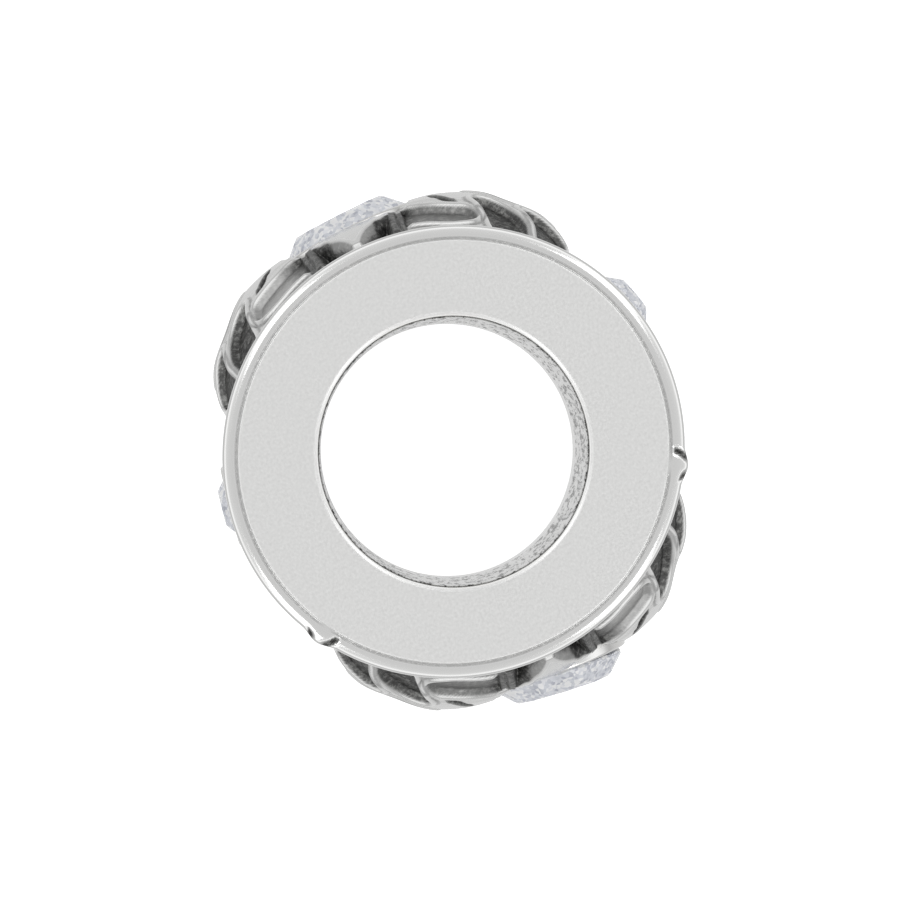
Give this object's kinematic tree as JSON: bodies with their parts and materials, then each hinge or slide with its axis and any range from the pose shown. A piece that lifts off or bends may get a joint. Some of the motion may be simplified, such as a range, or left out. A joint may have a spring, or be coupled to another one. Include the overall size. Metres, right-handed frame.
{
  "type": "european charm bead",
  "caption": "Cast silver bead with a large plain bore for a bracelet chain, raised leaf flowers on opposite sides and faceted clear stones in collars.",
  "frame": {"origin": "centre of the bore at the far end face, on which the bead stands", "axes": "+Z along the bore, towards the end that the picture shows; +Y through the middle of the first large stone; the second large stone faces -Y"},
  "size_m": [0.0087, 0.0098, 0.0075],
  "materials": {
    "silver": "cast sterling silver, polished, with oxidised recesses and satin end faces",
    "large_stone_1": "clear faceted stone, polished",
    "large_stone_2": "clear faceted stone, polished",
    "small_stone_1": "clear faceted stone, polished",
    "small_stone_2": "clear faceted stone, polished"
  },
  "bodies": {
    "root": {"bead_body": "silver", "large_stone_1": "large_stone_1", "large_stone_2": "large_stone_2", "small_stone_1": "small_stone_1", "small_stone_2": "small_stone_2"}
  },
  "joints": []
}
